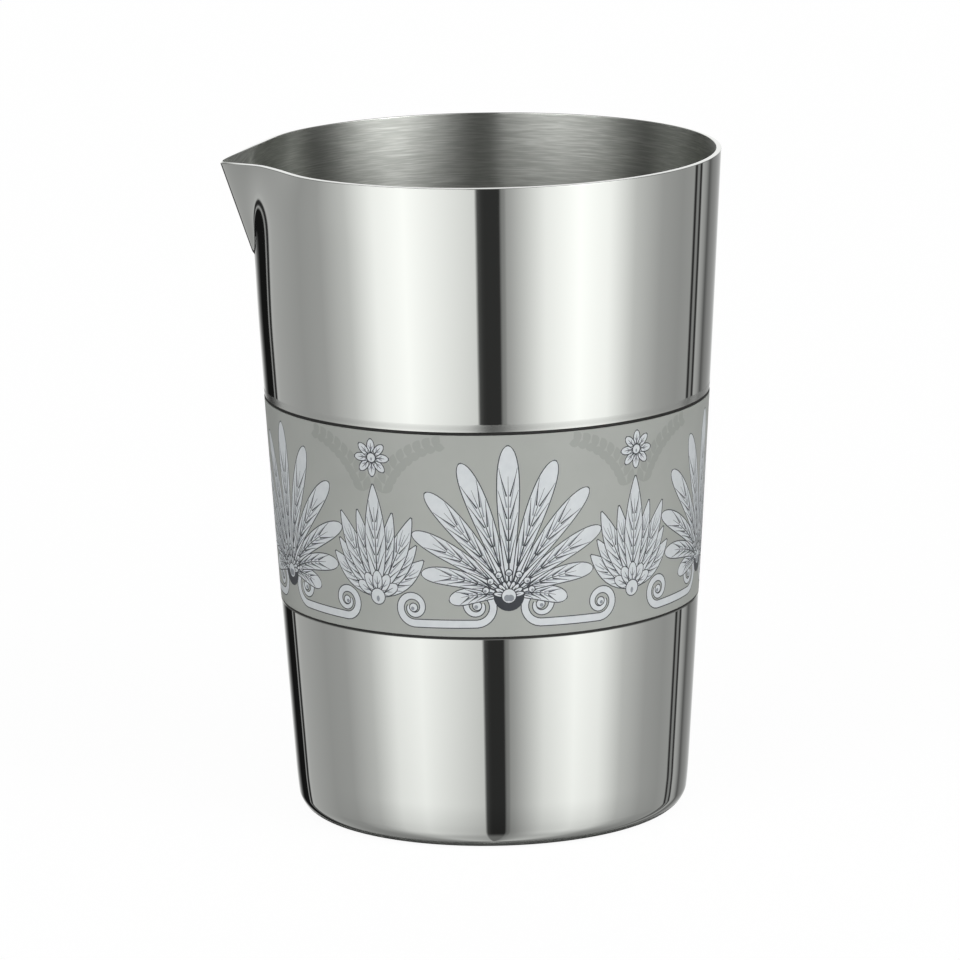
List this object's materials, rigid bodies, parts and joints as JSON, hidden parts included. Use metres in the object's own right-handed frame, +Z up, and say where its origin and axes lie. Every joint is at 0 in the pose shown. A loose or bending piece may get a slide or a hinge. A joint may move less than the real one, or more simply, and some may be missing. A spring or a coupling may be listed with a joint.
{
  "type": "mixing glass",
  "caption": "Tapered double-walled stainless steel mixing glass with a pressed pouring beak and a printed band set flush round its middle.",
  "frame": {"origin": "centre of the flat base, on the vessel's axis and on the surface that it stands on", "axes": "+Z up along the vessel's axis, -X along the pouring beak, so the XZ plane is the plane of symmetry"},
  "size_m": [0.0972, 0.092, 0.13],
  "materials": {
    "polished_steel": "mirror-polished stainless steel",
    "brushed_steel": "stainless steel brushed round the axis",
    "base_steel": "satin stainless steel",
    "print_film": "satin printed film, warm grey with white and charcoal ink",
    "sealant": "black sealing bead"
  },
  "bodies": {
    "root": {"outer_shell": "polished_steel", "inner_liner": "brushed_steel", "base_plate": "base_steel", "printed_band": "print_film", "upper_edge_seal": "sealant", "lower_edge_seal": "sealant"}
  },
  "joints": []
}
